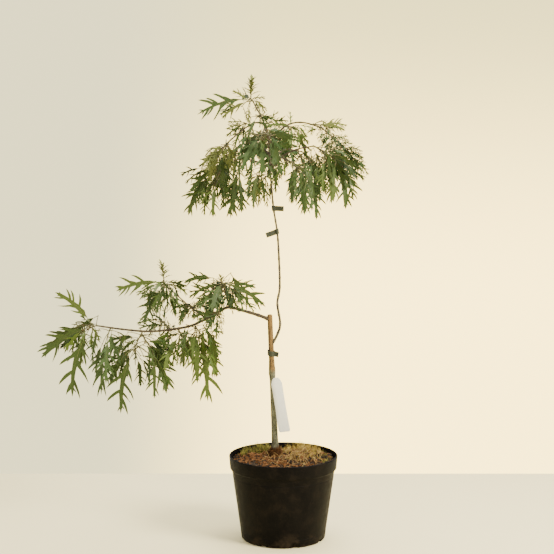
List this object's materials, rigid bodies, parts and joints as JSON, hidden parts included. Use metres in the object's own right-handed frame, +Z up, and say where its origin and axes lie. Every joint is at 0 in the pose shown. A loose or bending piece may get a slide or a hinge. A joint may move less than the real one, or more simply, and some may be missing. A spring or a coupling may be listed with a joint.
{
  "type": "potted oak tree",
  "caption": "Young grafted oak with deeply cut leaves and a weeping crown, one long side bough low on the trunk, standing in a round black nursery pot.",
  "frame": {"origin": "centre of the pot's flat underside", "axes": "+Z up; +X along the wide side of the crown, away from the long low bough; -Y towards the side that the crown faces"},
  "size_m": [0.6607, 0.3011, 0.9358],
  "materials": {
    "pot": "satin charcoal-black moulded plastic",
    "soil": "dark damp compost with moss and bark crumbs",
    "trunk_bark": "rough bark, grey-green under the graft and tan above it",
    "bough_bark": "thin grey-brown bark",
    "foliage": "soft satin leaves on thin twigs",
    "tape": "dull olive-grey tie tape",
    "label": "plain white plastic strip"
  },
  "bodies": {
    "root": {"bough_back": "bough_bark", "bough_back_left": "bough_bark", "bough_back_right": "bough_bark", "bough_front": "bough_bark", "bough_front_right": "bough_bark", "bough_left_low": "bough_bark", "bough_left_upper": "bough_bark", "bough_lower": "bough_bark", "bough_right_low": "bough_bark", "bough_right_upper": "bough_bark", "label": "label", "leader": "bough_bark", "leaves_back": "foliage", "leaves_back_left": "foliage", "leaves_back_right": "foliage", "leaves_centre": "foliage", "leaves_centre_left": "foliage", "leaves_front": "foliage", "leaves_front_right": "foliage", "leaves_left_core": "foliage", "leaves_left_inner": "foliage", "leaves_left_low": "foliage", "leaves_left_ridge": "foliage", "leaves_left_upper": "foliage", "leaves_lower_crest": "foliage", "leaves_lower_hanging": "foliage", "leaves_lower_inner": "foliage", "leaves_lower_middle": "foliage", "leaves_lower_outer": "foliage", "leaves_lower_shade": "foliage", "leaves_lower_sprig": "foliage", "leaves_lower_tip": "foliage", "leaves_lower_under": "foliage", "leaves_lower_upright": "foliage", "leaves_right_core": "foliage", "leaves_right_hanging": "foliage", "leaves_right_inner": "foliage", "leaves_right_low": "foliage", "leaves_right_outer": "foliage", "leaves_right_upper": "foliage", "leaves_top": "foliage", "leaves_top_right": "foliage", "leaves_top_under": "foliage", "pot": "pot", "shoot_long": "bough_bark", "shoot_upright": "bough_bark", "soil": "soil", "tie_low": "tape", "tie_middle": "tape", "tie_upper": "tape", "trunk": "trunk_bark"}
  },
  "joints": []
}
